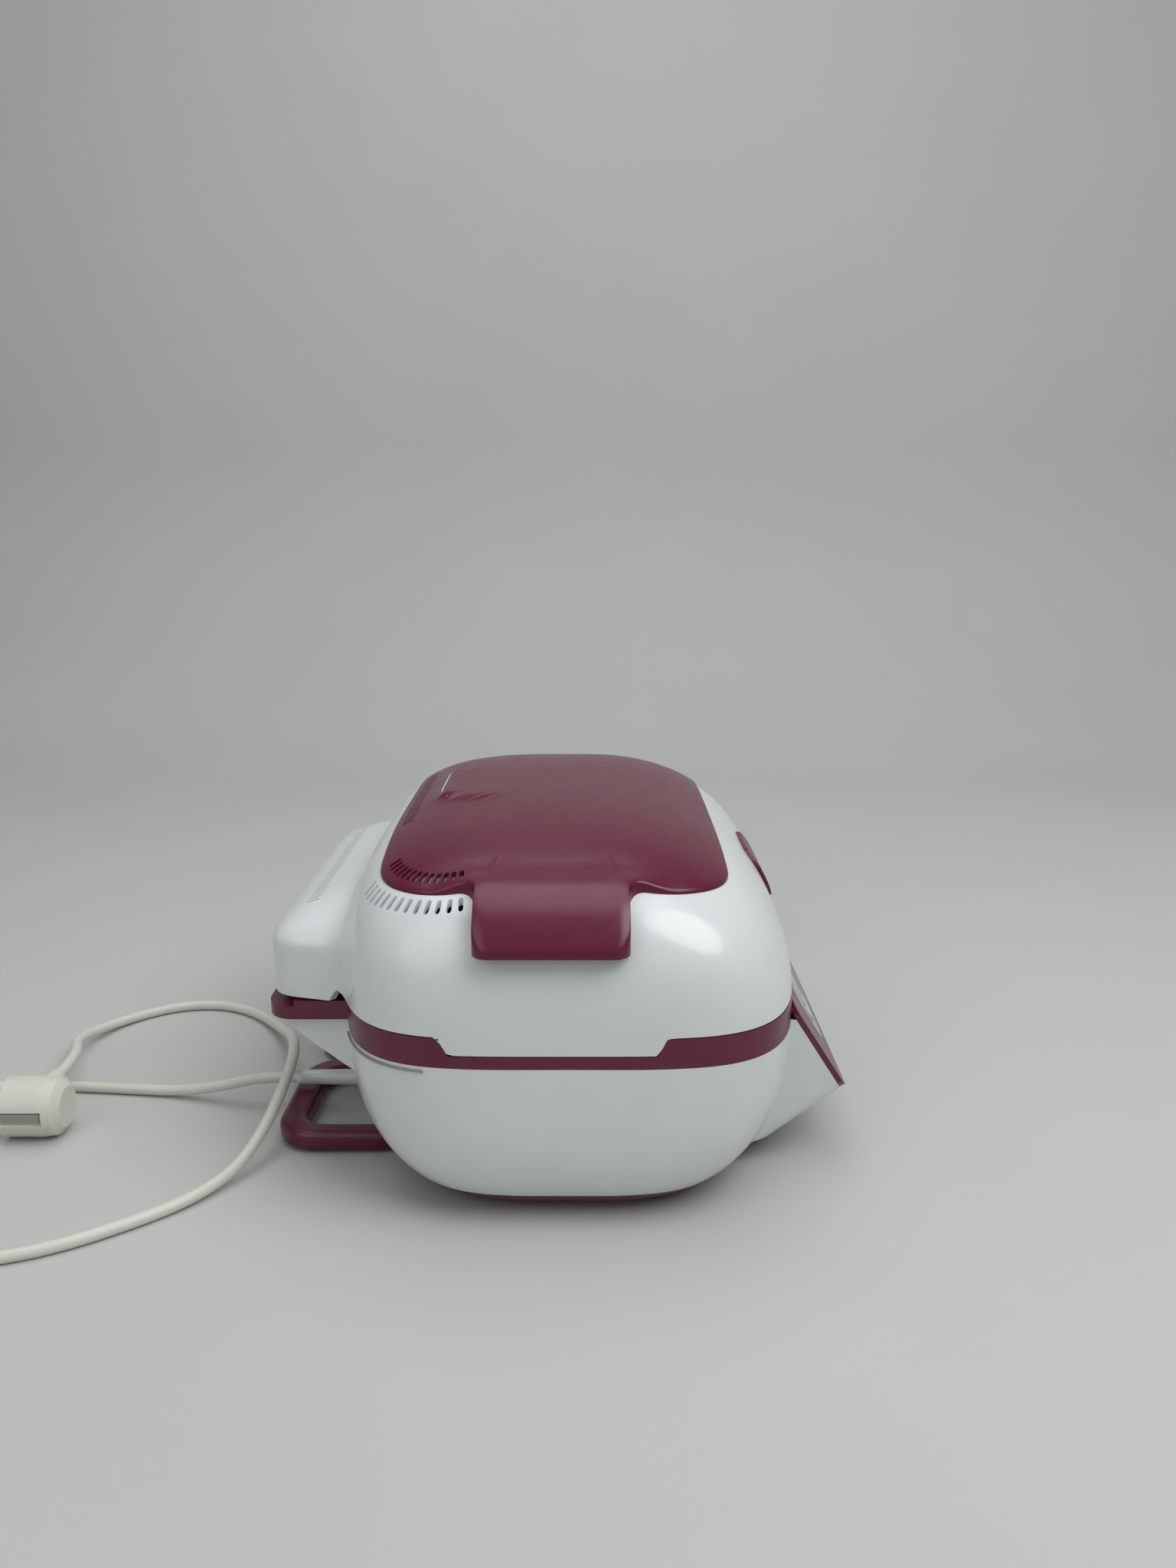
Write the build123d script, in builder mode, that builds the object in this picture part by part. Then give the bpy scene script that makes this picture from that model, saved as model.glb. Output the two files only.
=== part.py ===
from build123d import *
import math
import os

os.makedirs("parts", exist_ok=True)

# Countertop cake maker: a moulded base with a cooking well, and a hinged domed lid.
# The front is -Y, the back +Y, and X = 0 is the plane of symmetry. The floor is Z = 0.

# Overall shape
body_mid_y = -6.0
half_width = 192.0
reach_back = 131.0
reach_front = 134.0
corner_power = 4.5
shell_wall = 3.0

# Heights of the stacked mouldings
floor_clear = 4.0
pan_top_z = 15.0
belt_z = 96.0
parting_z = 113.0
dome_z = 104.0
crown_z = 206.0
parting_gap = 0.3

# Lower bowl profile, a superellipse that falls from the belt
bowl_depth = 110.0
bowl_side_power = 4.5
bowl_end_power = 2.7

# Lid dome profile, a superellipse with a softer slope at the front
dome_side_power = 3.3
dome_back_power = 3.8
dome_front_power = 2.3

# Sloping front fascia
fascia_y = body_mid_y - 151.5
fascia_z = 69.5
fascia_lean = 31.0
fascia_low = 32.0
fascia_high = 40.0
fascia_half_low = 108.0
fascia_half_high = 132.0
fascia_thick = 3.4
chin_depth = 80.0
chin_flare = 16.0

# Hinge and the housing over it
hinge_y = body_mid_y + 168.0
hinge_z = parting_z
hump_half_width = 120.0
hump_back = 8.0
hump_end_z = 140.0
hump_crown_z = 153.0
shelf_top_z = 103.5
shelf_step_z = 100.0
lug_x = 78.0
lug_thick = 5.0
lug_radius = 6.5
pin_radius = 2.5
pin_clear = 0.06

# Cooking well and its opening in the deck
well_half_x = 146.0
well_half_y = 100.0
well_corner = 30.0
well_floor_z = 34.0
well_wall = 1.2
deck_low_z = 99.0
deck_top_z = 102.0

# Push buttons
button_radius = 5.2
button_bore = 5.6
button_travel = 0.6

# Mains cord
cord_diameter = 7.0
floor_lie = cord_diameter / 2 + 0.1


def egg_points(half_x, back, front, power, count=32):
    """Points round a superellipse whose back and front reaches differ."""
    points = []
    for step in range(count):
        angle = 2 * math.pi * step / count
        cosine = math.cos(angle)
        sine = math.sin(angle)
        reach = back if sine > 0 else front
        x = half_x * math.copysign(abs(cosine) ** (2 / power), cosine)
        y = reach * math.copysign(abs(sine) ** (2 / power), sine)
        points.append((x, body_mid_y + y))
    return points


def taper(fraction, power):
    """Reach left at a fraction of a superellipse's rise."""
    return (1 - max(fraction, 0) ** power) ** (1 / power)


def belt_prism(inset, low, high):
    """Upright block with the outline of the belt, drawn in by an inset."""
    with BuildPart() as prism:
        with BuildSketch(Plane.XY.offset(low)):
            with BuildLine():
                Spline(
                    *egg_points(half_width - inset, reach_back - inset, reach_front - inset, corner_power),
                    periodic=True,
                )
            make_face()
        extrude(amount=high - low)
    return prism.part


def bowl(inset, low, levels=7):
    """Solid bowl under the belt, lofted through level sections."""
    depth = bowl_depth - inset
    with BuildPart() as form:
        for step in range(levels):
            height = belt_z - (belt_z - low) * (step / (levels - 1)) ** 0.8
            fraction = (belt_z - height) / depth
            side = (half_width - inset) * taper(fraction, bowl_side_power)
            back = (reach_back - inset) * taper(fraction, bowl_end_power)
            front = (reach_front - inset) * taper(fraction, bowl_end_power)
            with BuildSketch(Plane.XY.offset(height)):
                with BuildLine():
                    Spline(*egg_points(side, back, front, corner_power - fraction), periodic=True)
                make_face()
        loft()
    return form.part


def dome(inset, low=belt_z):
    """Solid dome of the lid, lofted through level sections, drawn in by an inset."""
    rise = crown_z - dome_z - inset
    with BuildPart() as form:
        for fraction in ((low - dome_z) / rise, 0, 0.35, 0.6, 0.78, 0.89, 0.95, 0.985, 0.998):
            side = (half_width - inset) * taper(fraction, dome_side_power)
            back = (reach_back - inset) * taper(fraction, dome_back_power)
            front = (reach_front - inset) * taper(fraction, dome_front_power)
            with BuildSketch(Plane.XY.offset(dome_z + rise * fraction)):
                with BuildLine():
                    Spline(
                        *egg_points(side, back, front, corner_power - 1.5 * max(fraction, 0) ** 2),
                        periodic=True,
                    )
                make_face()
        loft()
    return form.part


fascia_plane = Plane(
    origin=(0, fascia_y, fascia_z),
    x_dir=(1, 0, 0),
    z_dir=(0, -math.cos(math.radians(fascia_lean)), math.sin(math.radians(fascia_lean))),
)

fascia_axis = Axis(fascia_plane.origin, fascia_plane.z_dir)


def fascia_outline(inset, flare=0):
    """Outline of the fascia on its own slope: a rounded trapezoid, wider at the top."""
    low = -fascia_low + inset
    high = fascia_high - inset
    half_low = fascia_half_low + flare - inset
    half_high = fascia_half_high + flare - inset
    with BuildSketch() as outline:
        with BuildLine():
            Line((half_high, high), (-half_high, high))
            Line((-half_high, high), (-half_low, low))
            ThreePointArc((-half_low, low), (0, low - 3), (half_low, low))
            Line((half_low, low), (half_high, high))
        make_face()
        fillet(outline.vertices().sort_by(Axis.Y)[:2], 14 - inset)
        fillet(outline.vertices().sort_by(Axis.Y)[-2:], 5)
    return outline.sketch


def chin(inset, start):
    """Flared block behind the fascia that joins it to the bowl."""
    with BuildPart() as form:
        with BuildSketch(fascia_plane.offset(start)):
            add(fascia_outline(inset, -chin_flare * start / chin_depth))
        with BuildSketch(fascia_plane.offset(-chin_depth)):
            add(fascia_outline(inset, chin_flare))
        loft()
    return form.part


def corbel(inset):
    """Bracket-shaped swelling under the rear shelf."""
    with BuildPart() as form:
        with BuildSketch(Plane.YZ.offset(-hump_half_width + 6 + inset)):
            with BuildLine():
                Polyline(
                    (hinge_y - 70, belt_z - 4),
                    (hinge_y + 2 - inset, belt_z - 4),
                    (hinge_y - 16 - inset, belt_z - 20 + inset),
                    (hinge_y - 34 - inset, belt_z - 34 + inset),
                    (hinge_y - 70, belt_z - 60 + inset),
                    close=True,
                )
            profile = make_face()
            fillet(profile.vertices().sort_by(Axis.Y)[1:3], 14)
        extrude(amount=2 * (hump_half_width - 6 - inset))
    return form.part


def block(low_corner, high_corner):
    """Plain box between two corners."""
    with BuildPart(Plane(origin=low_corner)) as form:
        Box(
            *[high - low for low, high in zip(low_corner, high_corner)],
            align=(Align.MIN, Align.MIN, Align.MIN),
        )
    return form.part


def pressed_pan(half_x, half_y, corner, mouth_z, floor_z, floor_round):
    """Solid form of a pressed pan, drawn in from its mouth to its floor."""
    draft = 5 if mouth_z > floor_z else 12
    with BuildPart() as form:
        with BuildSketch(Plane.XY.offset(mouth_z)):
            with Locations((0, body_mid_y)):
                RectangleRounded(2 * half_x, 2 * half_y, corner)
        extrude(amount=floor_z - mouth_z, taper=draft)
        ends = form.faces().sort_by(Axis.Z)
        fillet(ends[0 if mouth_z > floor_z else -1].edges(), floor_round)
    return form.part


def tongue_zone(clear):
    """Sideways prism where the lid's tongues dip over the belt, with sloping ends."""
    with BuildPart() as form:
        with BuildSketch(Plane.YZ.offset(-220)):
            with BuildLine():
                Polyline(
                    (body_mid_y - 48 - clear, parting_z - 9.5 - clear),
                    (body_mid_y + 61 + clear, parting_z - 9.5 - clear),
                    (body_mid_y + 69 + clear, parting_z + 6),
                    (body_mid_y - 56 - clear, parting_z + 6),
                    close=True,
                )
            make_face()
        extrude(amount=440)
    return form.part


# Outer and inner forms shared by the mouldings
above_floor = block((-230, -260, floor_clear), (230, 260, belt_z))
below_pan_top = block((-230, -260, 0), (230, 260, pan_top_z))
body_form = (bowl(0, floor_clear) + chin(0, -fascia_thick) + corbel(0)) & above_floor
body_hollow = bowl(shell_wall, floor_clear + shell_wall) + chin(shell_wall, 2) + corbel(shell_wall)
inside_cut = body_hollow & block((-230, -260, floor_clear + shell_wall), (230, 260, belt_z + 2))
fascia_plate = extrude(fascia_plane.offset(-fascia_thick) * fascia_outline(0), amount=fascia_thick)

# Base pan, the dark floor moulding
foot_x = 112.0
foot_y = 60.0
foot_radius = 9.0
with BuildPart() as base_pan:
    add(body_form)
    add(inside_cut, mode=Mode.SUBTRACT)
    add(below_pan_top, mode=Mode.INTERSECT)
    with BuildSketch(Plane.XY.offset(floor_clear)):
        with Locations((0, body_mid_y)):
            with GridLocations(16, 0, 9, 1):
                SlotCenterToCenter(26, 4, rotation=90)
    extrude(amount=shell_wall, mode=Mode.SUBTRACT)
    with BuildSketch(Plane.XY.offset(floor_clear)):
        with Locations((0, body_mid_y - 6)):
            with GridLocations(2 * foot_x, 2 * foot_y, 2, 2):
                Circle(2.6)
    extrude(amount=shell_wall, mode=Mode.SUBTRACT)
base_pan.part.label = "base_pan"
export_step(base_pan.part, "parts/base_pan.step")

# Rubber feet with a stem through the pan
with BuildPart() as rubber_feet:
    with BuildSketch():
        with Locations((0, body_mid_y - 6)):
            with GridLocations(2 * foot_x, 2 * foot_y, 2, 2):
                Circle(foot_radius)
    extrude(amount=floor_clear, taper=-6)
    with BuildSketch(Plane.XY.offset(floor_clear)):
        with Locations((0, body_mid_y - 6)):
            with GridLocations(2 * foot_x, 2 * foot_y, 2, 2):
                Circle(2.4)
    extrude(amount=shell_wall + 1)
rubber_feet.part.label = "rubber_feet"
export_step(rubber_feet.part, "parts/rubber_feet.step")

# Lower housing, the pale bowl with the chin under the fascia
gland_x = -52.0
gland_z = 21.0
gland_bore = 5.5
with BuildPart() as lower_housing:
    add(body_form)
    add(inside_cut, mode=Mode.SUBTRACT)
    add(below_pan_top, mode=Mode.SUBTRACT)
    add(fascia_plate, mode=Mode.SUBTRACT)
    with Locations(Plane(origin=(gland_x, body_mid_y + 80, gland_z), z_dir=(0, 1, 0))):
        Cylinder(gland_bore, 60, align=(Align.CENTER, Align.CENTER, Align.MIN), mode=Mode.SUBTRACT)
lower_housing.part.label = "lower_housing"
export_step(lower_housing.part, "parts/lower_housing.step")

# Rear storage loops, two rounded D shapes low on the back
loop_x = 60.0
loop_height = 13.0
loop_low_z = 1.0
loop_back_y = body_mid_y + 180.0
with BuildPart() as storage_loops:
    with BuildSketch(Plane.XY.offset(loop_low_z)):
        for side in (-1, 1):
            with Locations((side * loop_x, loop_back_y - 45)):
                RectangleRounded(104, 90, 26)
                RectangleRounded(74, 56, 14, mode=Mode.SUBTRACT)
    extrude(amount=loop_height)
    chamfered = (
        storage_loops.edges().filter_by(GeomType.CIRCLE)
        + storage_loops.edges().filter_by(GeomType.LINE)
    )
    level = [edge for edge in chamfered if abs(edge.tangent_at(0.5).Z) < 0.1]
    fillet(level, 4.5)
    with Locations((0, body_mid_y + 90, 0)):
        Box(400, 20, 60, mode=Mode.SUBTRACT)
    add(body_form, mode=Mode.SUBTRACT)
storage_loops.part.label = "storage_loops"
export_step(storage_loops.part, "parts/storage_loops.step")

# Belt moulding: upstand wall, deck round the well, rear shelf and front fascia
insert_half = 76.0
insert_half_high = 19.0
insert_seat = 1.2
window_half = 32.0
window_half_high = 12.0
button_xs = (-62, -45, 45, 62)
board_drop = 10.4
with BuildPart() as belt_moulding:
    add(belt_prism(0, belt_z, parting_z - parting_gap))
    add(belt_prism(shell_wall, belt_z - 1, deck_low_z), mode=Mode.SUBTRACT)
    add(belt_prism(shell_wall, deck_top_z, parting_z + 1), mode=Mode.SUBTRACT)
    add(tongue_zone(0.5), mode=Mode.SUBTRACT)
    with BuildSketch(Plane.XY.offset(belt_z - 4)):
        with Locations((0, hinge_y + hump_back - 32)):
            RectangleRounded(2 * hump_half_width, 64, 16)
        add(
            make_face(
                Spline(
                    *egg_points(half_width - 1.5, reach_back - 1.5, reach_front, corner_power),
                    periodic=True,
                )
            ),
            mode=Mode.SUBTRACT,
        )
    extrude(amount=shelf_top_z - belt_z + 4)
    with BuildSketch(Plane.XY.offset(belt_z - 4)):
        with Locations((0, hinge_y + hump_back - 32)):
            RectangleRounded(2 * hump_half_width - 6, 58, 13)
        add(
            make_face(
                Spline(
                    *egg_points(half_width + 1, reach_back + 1, reach_front, corner_power),
                    periodic=True,
                )
            ),
            mode=Mode.SUBTRACT,
        )
    extrude(amount=deck_low_z - belt_z + 1, mode=Mode.SUBTRACT)
    add(body_form, mode=Mode.SUBTRACT)
    with Locations((0, hinge_y + 40 - 9, shelf_step_z + 10)):
        Box(2 * hump_half_width + 20, 80, 20, mode=Mode.SUBTRACT)
    with BuildSketch(Plane.XY.offset(deck_low_z - 4)):
        with Locations((0, body_mid_y)):
            RectangleRounded(2 * well_half_x + 4, 2 * well_half_y + 4, well_corner + 2)
    extrude(amount=12, mode=Mode.SUBTRACT)
    add(fascia_plate)
    with BuildSketch(fascia_plane):
        RectangleRounded(2 * insert_half, 2 * insert_half_high, insert_half_high - 1)
    extrude(amount=-insert_seat, mode=Mode.SUBTRACT)
    with BuildSketch(fascia_plane):
        RectangleRounded(2 * insert_half - 8, 2 * insert_half_high - 8, insert_half_high - 5)
    extrude(amount=-2 * fascia_thick, mode=Mode.SUBTRACT)
    with BuildSketch(fascia_plane.offset(-fascia_thick)):
        with GridLocations(2 * insert_half + 12, 0, 2, 1):
            Circle(3.5)
    extrude(amount=-board_drop + fascia_thick)
    with BuildSketch(Plane.XY.offset(belt_z - 4)):
        for side in (-1, 1):
            with Locations((side * lug_x, hinge_y - 1.2)):
                with GridLocations(22, 0, 2, 1):
                    Circle(1.6)
    extrude(amount=12, mode=Mode.SUBTRACT)
belt_moulding.part.label = "belt_moulding"
export_step(belt_moulding.part, "parts/belt_moulding.step")

# Oval control insert with a window and four button bores
with BuildPart() as control_insert:
    with BuildSketch(fascia_plane.offset(-insert_seat)):
        RectangleRounded(2 * insert_half - 0.4, 2 * insert_half_high - 0.4, insert_half_high - 1.2)
        RectangleRounded(2 * window_half, 2 * window_half_high, 3, mode=Mode.SUBTRACT)
        with Locations(*[(x, 0) for x in button_xs]):
            Circle(button_bore, mode=Mode.SUBTRACT)
    extrude(amount=insert_seat + 0.6)
    chamfer(control_insert.faces().sort_by(fascia_axis)[-1].outer_wire().edges(), 0.4)
control_insert.part.label = "control_insert"
export_step(control_insert.part, "parts/control_insert.step")

# Clear window over the display
with BuildPart() as display_window:
    with BuildSketch(fascia_plane.offset(-insert_seat)):
        RectangleRounded(2 * window_half - 0.3, 2 * window_half_high - 0.3, 2.9)
    extrude(amount=insert_seat + 0.3)
display_window.part.label = "display_window"
export_step(display_window.part, "parts/display_window.step")

# Display module behind the window
display_low = -6.8
with BuildPart() as display_module:
    with BuildSketch(fascia_plane.offset(display_low)):
        RectangleRounded(2 * window_half + 2, 2 * window_half_high + 3, 1)
    extrude(amount=-insert_seat - 0.2 - display_low)
    with BuildSketch(fascia_plane.offset(-board_drop)):
        with GridLocations(2 * window_half - 6, 0, 2, 1):
            Rectangle(3, 2 * window_half_high)
    extrude(amount=display_low + board_drop)
display_module.part.label = "display_module"
export_step(display_module.part, "parts/display_module.step")

# Control board carried on two posts behind the fascia
board_thick = 1.6
with BuildPart() as control_board:
    with BuildSketch(fascia_plane.offset(-board_drop - board_thick)):
        RectangleRounded(2 * insert_half + 22, 34, 3)
    extrude(amount=board_thick)
control_board.part.label = "control_board"
export_step(control_board.part, "parts/control_board.step")

# Tactile switches under the buttons
switch_top = -6.4
with BuildPart() as button_switches:
    with BuildSketch(fascia_plane.offset(-board_drop)):
        with Locations(*[(x, 0) for x in button_xs]):
            Rectangle(6, 6)
    extrude(amount=3.4)
    with BuildSketch(fascia_plane.offset(-board_drop + 3.4)):
        with Locations(*[(x, 0) for x in button_xs]):
            Circle(1.7)
    extrude(amount=board_drop - 3.4 + switch_top)
button_switches.part.label = "button_switches"
export_step(button_switches.part, "parts/button_switches.step")

# Push buttons, each a cap with a collar under the insert and a stem over its switch
for name, x in zip(("button_program", "button_minus", "button_plus", "button_start"), button_xs):
    with BuildPart() as button:
        with BuildSketch(fascia_plane.offset(-insert_seat - 1.6)):
            with Locations((x, 0)):
                Circle(button_radius + 1.2)
        extrude(amount=1.2)
        with BuildSketch(fascia_plane.offset(-insert_seat - 0.4)):
            with Locations((x, 0)):
                Circle(button_radius)
        extrude(amount=insert_seat + 0.4 + 1.9)
        chamfer(button.faces().sort_by(fascia_axis)[-1].edges(), 0.5)
        with BuildSketch(fascia_plane.offset(switch_top + button_travel + 0.3)):
            with Locations((x, 0)):
                Circle(1.5)
        extrude(amount=-insert_seat - 1.6 - switch_top - button_travel - 0.3)
    button.part.label = name
    export_step(button.part, f"parts/{name}.step")

# Cooking well, a pressed pan with a flat flange on the deck
with BuildPart() as cooking_well:
    add(pressed_pan(well_half_x, well_half_y, well_corner, deck_top_z, well_floor_z, 8))
    add(
        pressed_pan(
            well_half_x - well_wall,
            well_half_y - well_wall,
            well_corner - well_wall,
            deck_top_z,
            well_floor_z + well_wall,
            8 - well_wall,
        ),
        mode=Mode.SUBTRACT,
    )
    with BuildSketch(Plane.XY.offset(deck_top_z)):
        with Locations((0, body_mid_y)):
            RectangleRounded(2 * well_half_x + 20, 2 * well_half_y + 20, well_corner + 10)
            RectangleRounded(
                2 * (well_half_x - well_wall),
                2 * (well_half_y - well_wall),
                well_corner - well_wall,
                mode=Mode.SUBTRACT,
            )
    extrude(amount=well_wall)
cooking_well.part.label = "cooking_well"
export_step(cooking_well.part, "parts/cooking_well.step")

# Wire rack that carries the baking mould inside the well
rack_wire = 2.0
rack_half_x = 118.0
rack_half_y = 76.0
rack_foot = 8.0
with BuildPart() as mould_rack:
    for offset_x in (-3, -2, -1, 0, 1, 2, 3):
        with Locations(
            Plane(
                origin=(offset_x * 36.0, body_mid_y - rack_half_y, well_floor_z + well_wall + rack_foot),
                z_dir=(0, 1, 0),
            )
        ):
            Cylinder(rack_wire - 0.4, 2 * rack_half_y, align=(Align.CENTER, Align.CENTER, Align.MIN))
    for side in (-1, 1):
        rail_y = body_mid_y + side * rack_half_y
        with Locations(
            Plane(
                origin=(-rack_half_x, rail_y, well_floor_z + well_wall + rack_foot),
                z_dir=(1, 0, 0),
            )
        ):
            Cylinder(rack_wire, 2 * rack_half_x, align=(Align.CENTER, Align.CENTER, Align.MIN))
        for end in (-1, 1):
            with Locations((end * (rack_half_x - rack_wire), rail_y, well_floor_z + well_wall)):
                Cylinder(rack_wire, rack_foot, align=(Align.CENTER, Align.CENTER, Align.MIN))
mould_rack.part.label = "mould_rack"
export_step(mould_rack.part, "parts/mould_rack.step")

# Tubular heater under the well, bent to a rounded loop with both tails towards the back
heater_radius = 3.25
lower_heater_z = well_floor_z - heater_radius
with BuildPart() as lower_heater:
    with BuildLine() as route:
        FilletPolyline(
            (-26, body_mid_y + 106, lower_heater_z),
            (-26, body_mid_y + 64, lower_heater_z),
            (-104, body_mid_y + 64, lower_heater_z),
            (-104, body_mid_y - 62, lower_heater_z),
            (104, body_mid_y - 62, lower_heater_z),
            (104, body_mid_y + 64, lower_heater_z),
            (26, body_mid_y + 64, lower_heater_z),
            (26, body_mid_y + 106, lower_heater_z),
            radius=18,
        )
    with BuildSketch(Plane(origin=route.line @ 0, z_dir=route.line % 0)):
        Circle(heater_radius)
    sweep()
lower_heater.part.label = "lower_heater"
export_step(lower_heater.part, "parts/lower_heater.step")

# Heat shield tray under the heater, held off the pan by pressed legs
shield_z = 20.0
with BuildPart() as heat_shield:
    with BuildSketch(Plane.XY.offset(shield_z)):
        with Locations((0, body_mid_y)):
            RectangleRounded(276, 160, 24)
    extrude(amount=0.8)
    with BuildSketch(Plane.XY.offset(shield_z + 0.8)):
        with Locations((0, body_mid_y)):
            RectangleRounded(276, 160, 24)
            RectangleRounded(274.4, 158.4, 23.2, mode=Mode.SUBTRACT)
    extrude(amount=lower_heater_z - heater_radius - shield_z - 0.8)
    with BuildSketch(Plane.XY.offset(floor_clear + shell_wall)):
        with Locations((0, body_mid_y)):
            with GridLocations(200, 110, 2, 2):
                Rectangle(14, 10)
    extrude(amount=shield_z - floor_clear - shell_wall)
heat_shield.part.label = "heat_shield"
export_step(heat_shield.part, "parts/heat_shield.step")

# Temperature probe clipped to the outside of the well floor
with BuildPart() as well_probe:
    with BuildSketch(Plane.XY.offset(well_floor_z - 5)):
        with Locations((0, body_mid_y)):
            Circle(9)
    extrude(amount=5)
    with BuildSketch(Plane.XY.offset(shield_z + 0.8)):
        with Locations((0, body_mid_y)):
            Circle(4)
    extrude(amount=well_floor_z - 5 - shield_z - 0.8)
well_probe.part.label = "well_probe"
export_step(well_probe.part, "parts/well_probe.step")

# Thermal fuse in a strap on the well floor
with BuildPart() as thermal_fuse:
    with Locations((52, body_mid_y + 30, well_floor_z - 2.5)):
        Box(26, 10, 5)
        Box(40, 3, 2)
thermal_fuse.part.label = "thermal_fuse"
export_step(thermal_fuse.part, "parts/thermal_fuse.step")

# Power board standing behind the well on two ribs of the pan
board_y = body_mid_y - 89.0
with BuildPart() as power_board:
    with Locations((0, board_y, floor_clear + shell_wall + 5)):
        Box(150, 16, 1.6, align=(Align.CENTER, Align.CENTER, Align.MIN))
    with Locations((-60, board_y + 3, floor_clear + shell_wall), (60, board_y + 3, floor_clear + shell_wall)):
        Cylinder(3, 5, align=(Align.CENTER, Align.CENTER, Align.MIN))
power_board.part.label = "power_board"
export_step(power_board.part, "parts/power_board.step")

# Relays and filter can on the power board
with BuildPart() as power_relays:
    with Locations(
        (-50, board_y, floor_clear + shell_wall + 6.6),
        (-26, board_y, floor_clear + shell_wall + 6.6),
    ):
        Box(19, 13, 15, align=(Align.CENTER, Align.CENTER, Align.MIN))
    with Locations((30, board_y, floor_clear + shell_wall + 6.6)):
        Cylinder(6.5, 15, align=(Align.CENTER, Align.CENTER, Align.MIN))
power_relays.part.label = "power_relays"
export_step(power_relays.part, "parts/power_relays.step")

# Cord gland with a long ribbed sleeve
gland_wall_y = body_mid_y + 112.0
gland_tip_y = body_mid_y + 177.0
with BuildPart() as cord_gland:
    with BuildSketch(Plane.YZ.offset(gland_x)):
        with BuildLine():
            Polyline(
                (gland_wall_y - 4, gland_z),
                (gland_wall_y - 4, gland_z + 5.3),
                (gland_wall_y + 9, gland_z + 5.3),
                (gland_tip_y - 3, gland_z + 4.6),
                (gland_tip_y, gland_z + 4.2),
                (gland_tip_y, gland_z),
                close=True,
            )
        make_face()
    revolve(axis=Axis((gland_x, 0, gland_z), (0, 1, 0)))
cord_gland.part.label = "cord_gland"
export_step(cord_gland.part, "parts/cord_gland.step")

# Mains cord: laid out behind the machine, back under the view's edge and over itself to the plug
cord_points = [
    (gland_x, gland_tip_y, gland_z),
    (gland_x, 196, gland_z),
    (-47, 222, 12),
    (-40, 252, 4.6),
    (-35, 290, floor_lie),
    (-31, 332, floor_lie),
    (-30, 376, floor_lie),
    (-46, 414, floor_lie),
    (-80, 438, floor_lie),
    (-122, 442, floor_lie),
    (-163, 426, floor_lie),
    (-197, 394, floor_lie),
    (-217, 352, floor_lie),
    (-224, 308, floor_lie),
    (-213, 268, floor_lie),
    (-191, 234, floor_lie),
    (-166, 205, floor_lie + 0.2),
    (-140, 187, 7),
    (-115, 177, 18),
    (-88, 172, 30),
    (-57, 172, 36.5),
    (-26, 179, 35),
    (4, 190, 25),
    (34, 201, 13),
    (66, 218, 5),
    (91, 241, floor_lie),
    (104, 270, floor_lie),
    (100, 302, floor_lie),
    (80, 329, floor_lie),
    (50, 346, 6.5),
    (16, 346, 14.5),
    (-14, 331, 18.5),
    (-46, 331, 18.5),
]


def cord_radii(points):
    """Largest easy bend at each inner point of the route, printed for the record."""
    radii = []
    for before, point, after in zip(points, points[1:], points[2:]):
        arriving = Vector(*point) - Vector(*before)
        leaving = Vector(*after) - Vector(*point)
        turn = arriving.get_angle(leaving)
        shorter = min(arriving.length, leaving.length)
        radii.append(0.45 * shorter / math.tan(math.radians(turn / 2)))
        print(
            "bend",
            tuple(round(value) for value in point),
            "turn",
            round(turn, 1),
            "radius",
            round(radii[-1], 1),
        )
    return radii


with BuildPart() as mains_cord:
    with BuildLine() as route:
        FilletPolyline(*cord_points, radius=cord_radii(cord_points))
    with BuildSketch(Plane(origin=route.line @ 0, z_dir=route.line % 0)):
        Circle(cord_diameter / 2)
    sweep()
cord_length = sum(edge.length for edge in route.edges())
print(
    "cord length",
    round(cord_length),
    "tube over section times length",
    mains_cord.part.volume / (cord_length * math.pi * cord_diameter**2 / 4),
)
mains_cord.part.label = "mains_cord"
export_step(mains_cord.part, "parts/mains_cord.step")

# Plug lying on its side, with a cord neck square to its pins
plug_x = -86.0
plug_radius = 18.5
plug_near_y = 307.0
plug_far_y = 343.0
neck_tip_x = -46.0
neck_y = 331.0
contact_width = 6.0
with BuildPart() as plug_body:
    with BuildSketch(Plane.YZ.offset(plug_x)):
        with BuildLine():
            Polyline(
                (plug_near_y, plug_radius),
                (plug_near_y, 2 * plug_radius - 6),
                (plug_near_y + 4, 2 * plug_radius - 1),
                (plug_near_y + 12, 2 * plug_radius),
                (plug_far_y, 2 * plug_radius),
                (plug_far_y, plug_radius),
                close=True,
            )
        make_face()
    revolve(axis=Axis((plug_x, 0, plug_radius), (0, 1, 0)))
    for side in (-1, 1):
        with Locations((plug_x + side * plug_radius, plug_far_y - 13, plug_radius)):
            Box(6, 28, contact_width + 3, mode=Mode.SUBTRACT)
    with BuildSketch(Plane(origin=(neck_tip_x, neck_y, plug_radius), z_dir=(-1, 0, 0))):
        Circle(5)
    with BuildSketch(Plane(origin=(plug_x + 14, neck_y, plug_radius), z_dir=(-1, 0, 0))):
        Circle(8)
    loft()
plug_body.part.label = "plug_body"
export_step(plug_body.part, "parts/plug_body.step")

# Earth strip down the flat of the plug that faces away from the cord's neck
with BuildPart() as plug_earth:
    with Locations((plug_x - (plug_radius - 2.5), plug_far_y - 13, plug_radius)):
        Box(1, 24, contact_width)
plug_earth.part.label = "plug_earth"
export_step(plug_earth.part, "parts/plug_earth.step")

# Round pins
with BuildPart() as plug_pins:
    with BuildSketch(Plane(origin=(plug_x, plug_far_y, plug_radius), z_dir=(0, 1, 0))):
        with GridLocations(19, 0, 2, 1):
            Circle(2.4)
    extrude(amount=19)
plug_pins.part.label = "plug_pins"
export_step(plug_pins.part, "parts/plug_pins.step")

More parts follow.
